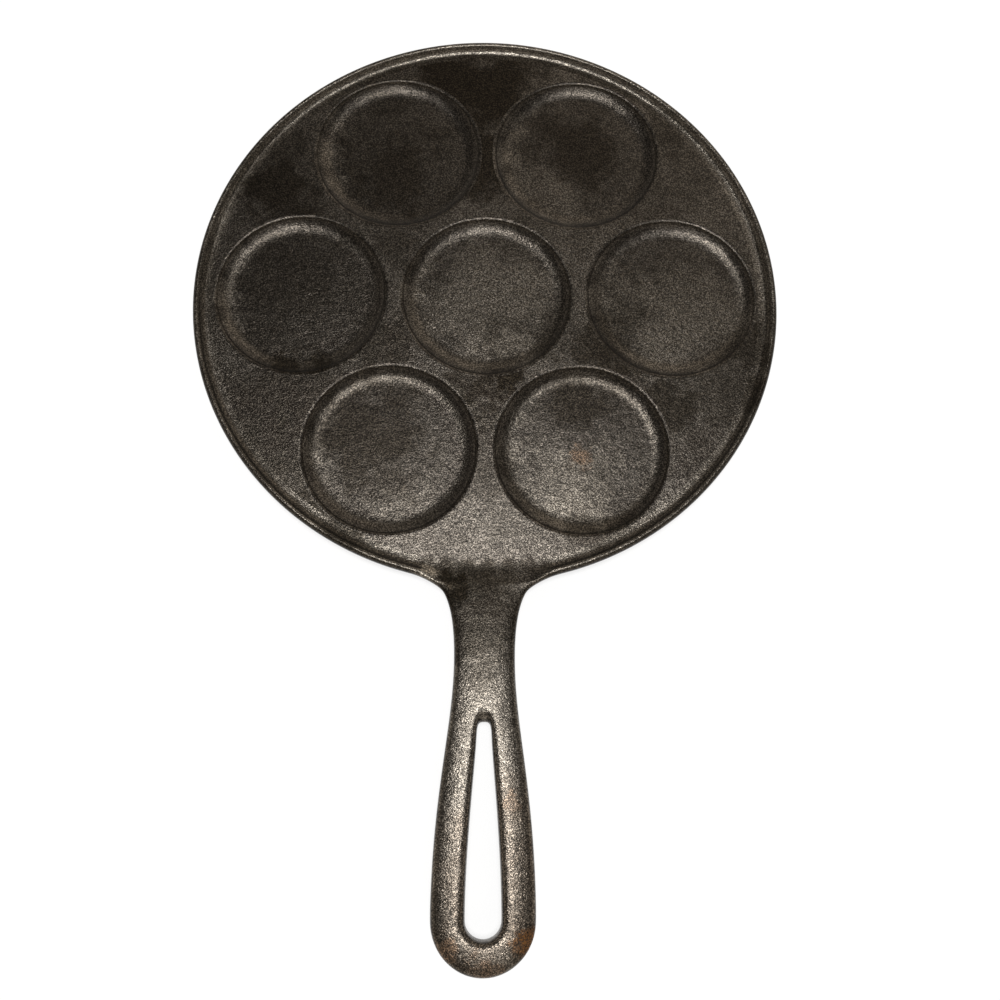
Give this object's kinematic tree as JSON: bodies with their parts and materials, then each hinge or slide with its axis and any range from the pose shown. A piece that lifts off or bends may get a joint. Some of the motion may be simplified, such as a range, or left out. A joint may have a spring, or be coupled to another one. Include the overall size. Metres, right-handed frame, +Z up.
{
  "type": "plett pan",
  "caption": "Round cast-iron griddle with shallow round wells for small pancakes, a low raised rim and a long looped handle with a hanging slot.",
  "frame": {"origin": "middle of the centre well's foot, on the plane that the wells' feet stand on", "axes": "+Z up, -Y along the handle away from the pan, +X to the right with the handle towards the viewer"},
  "size_m": [0.24, 0.3786, 0.016],
  "materials": {
    "seasoned_iron": "sand-cast grain under dark oil seasoning, satin",
    "handle_iron": "sand-cast grain, thinner seasoning with brown cast and specks of rust"
  },
  "bodies": {
    "root": {"griddle_plate": "seasoned_iron", "rim": "seasoned_iron", "center_well": "seasoned_iron", "right_well": "seasoned_iron", "back_right_well": "seasoned_iron", "back_left_well": "seasoned_iron", "left_well": "seasoned_iron", "front_left_well": "seasoned_iron", "front_right_well": "seasoned_iron", "handle_root": "handle_iron", "handle_neck": "handle_iron", "handle_left_arm": "handle_iron", "handle_right_arm": "handle_iron", "handle_end": "handle_iron"}
  },
  "joints": []
}
